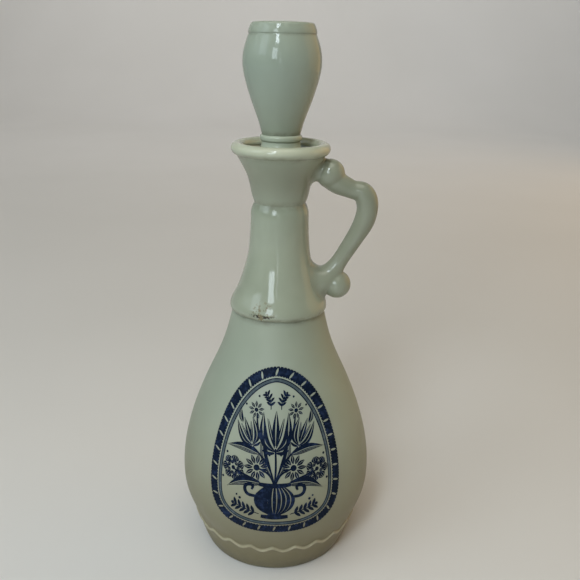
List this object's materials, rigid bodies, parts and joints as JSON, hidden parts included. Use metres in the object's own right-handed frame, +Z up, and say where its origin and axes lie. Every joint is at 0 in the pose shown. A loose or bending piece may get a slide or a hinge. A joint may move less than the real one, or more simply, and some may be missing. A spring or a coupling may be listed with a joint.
{
  "type": "stoppered liquor decanter",
  "caption": "Pear-shaped opal glass liquor decanter with a scalloped foot, flared neck, pouring cup, scroll handle and an urn-shaped corked stopper that lifts out and turns.",
  "frame": {"origin": "centre of the foot on the standing plane", "axes": "+Z up along the bottle's axis, +X towards the handle, so -Y faces the viewer of the printed medallion"},
  "size_m": [0.1184, 0.1183, 0.318],
  "materials": {
    "satin_opal_glass": "satin pale green-grey opal glass with a blue printed medallion on the front",
    "gloss_opal_glass": "glossy pale green-grey opal glass",
    "plug_plastic": "moulded plastic in the glass's colour",
    "cork": "natural cork"
  },
  "bodies": {
    "bottle": {"bottle_body": "satin_opal_glass", "bottle_neck": "gloss_opal_glass", "handle": "gloss_opal_glass"},
    "cork": {"cork_sleeve": "cork"},
    "stopper": {"stopper_head": "gloss_opal_glass", "stopper_collar": "plug_plastic", "stopper_plug": "plug_plastic"}
  },
  "joints": [
    {"name": "stopper_lift", "type": "slide", "parent": "bottle", "child": "cork", "axis": [0, 0, 1], "range_m": [0, 0.06]},
    {"name": "stopper_twist", "type": "hinge", "parent": "cork", "child": "stopper", "pos_m": [0, 0, 0.2164], "axis": [0, 0, 1], "continuous": true}
  ]
}
